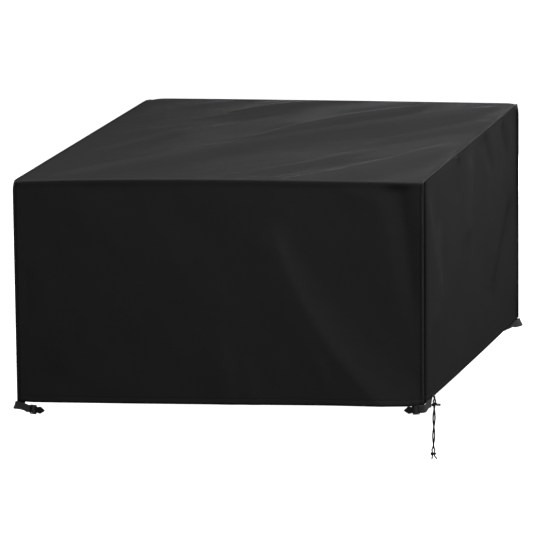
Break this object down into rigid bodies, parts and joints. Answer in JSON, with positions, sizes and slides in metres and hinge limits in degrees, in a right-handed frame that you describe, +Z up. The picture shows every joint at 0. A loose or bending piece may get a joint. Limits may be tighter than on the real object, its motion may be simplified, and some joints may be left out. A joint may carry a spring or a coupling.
{
  "type": "patio furniture cover",
  "caption": "Fitted square cover of coated black cloth with a flat top, straight walls, buckled corner straps and a hem drawstring, draped hollow and open underneath.",
  "frame": {"origin": "the middle of the underside of the cover's top, where it rests on what it covers", "axes": "+Z up, -Y towards the front, +X towards the right end, where the drawstring hangs"},
  "size_m": [1.4006, 1.3806, 0.9321],
  "materials": {
    "coated_cloth": "matte, finely woven, coated",
    "webbing": "matte ribbed webbing",
    "buckle_plastic": "satin moulded",
    "cord": "matte braided"
  },
  "bodies": {
    "root": {"main_panel": "coated_cloth", "left_panel": "coated_cloth", "right_panel": "coated_cloth", "strap_front_left": "webbing", "plug_front_left": "buckle_plastic", "tab_front_left": "webbing", "socket_front_left": "buckle_plastic", "strap_front_right": "webbing", "plug_front_right": "buckle_plastic", "tab_front_right": "webbing", "socket_front_right": "buckle_plastic", "strap_back_right": "webbing", "plug_back_right": "buckle_plastic", "tab_back_right": "webbing", "socket_back_right": "buckle_plastic", "strap_back_left": "webbing", "plug_back_left": "buckle_plastic", "tab_back_left": "webbing", "socket_back_left": "buckle_plastic", "cord_left": "cord", "cord_right": "cord", "cord_hitch": "cord", "cord_knot": "cord"}
  },
  "joints": []
}
